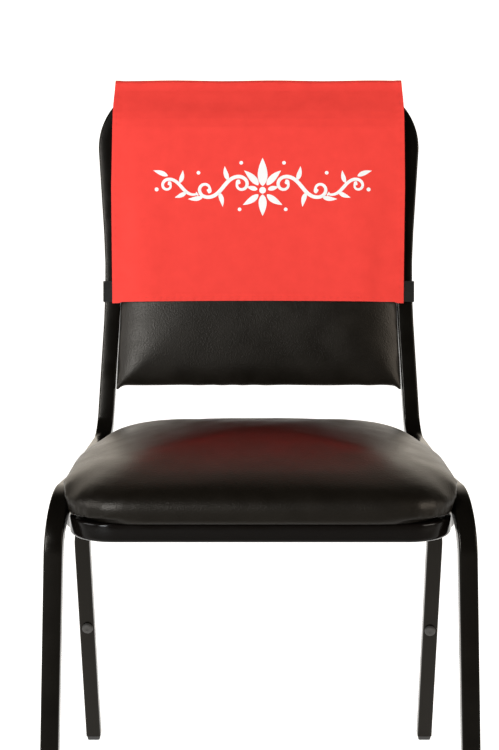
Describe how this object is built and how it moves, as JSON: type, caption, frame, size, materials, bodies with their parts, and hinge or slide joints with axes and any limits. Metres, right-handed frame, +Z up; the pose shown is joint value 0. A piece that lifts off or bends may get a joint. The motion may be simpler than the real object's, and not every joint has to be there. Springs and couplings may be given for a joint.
{
  "type": "chair back cover on a stacking chair",
  "caption": "Open-sided cloth cover folded over the back of a padded stacking chair and held at its lower corners by elastic straps round the uprights.",
  "frame": {"origin": "on the floor, under the middle of the whole chair's box", "axes": "+Z up, -Y out of the front of the seat, +X to the right of someone who faces the chair"},
  "size_m": [0.4672, 0.5274, 0.8673],
  "materials": {
    "cover_cloth": "plain woven polyester, matt, with a flat white printed ornament",
    "strap_elastic": "woven black elastic, ribbed across",
    "frame_paint": "glossy black powder coat",
    "pan_paint": "glossy black enamel",
    "seat_vinyl": "fine-grained black vinyl, half gloss",
    "glide_plastic": "moulded black plastic",
    "bumper_rubber": "matt dark grey rubber"
  },
  "bodies": {
    "root": {"cover": "cover_cloth", "strap_left": "strap_elastic", "strap_right": "strap_elastic", "front_leg_left": "frame_paint", "front_leg_right": "frame_paint", "side_rail_left": "frame_paint", "side_rail_right": "frame_paint", "upright_left": "frame_paint", "upright_right": "frame_paint", "shoulder_left": "frame_paint", "shoulder_right": "frame_paint", "top_rail": "frame_paint", "rear_leg_left": "frame_paint", "rear_leg_right": "frame_paint", "seat_bearer_front": "frame_paint", "seat_bearer_rear": "frame_paint", "seat_pan": "pan_paint", "seat_cushion": "seat_vinyl", "back_pad": "seat_vinyl", "glide_front_left": "glide_plastic", "glide_front_right": "glide_plastic", "glide_rear_left": "glide_plastic", "glide_rear_right": "glide_plastic", "bumper_left": "bumper_rubber", "bumper_right": "bumper_rubber"}
  },
  "joints": []
}
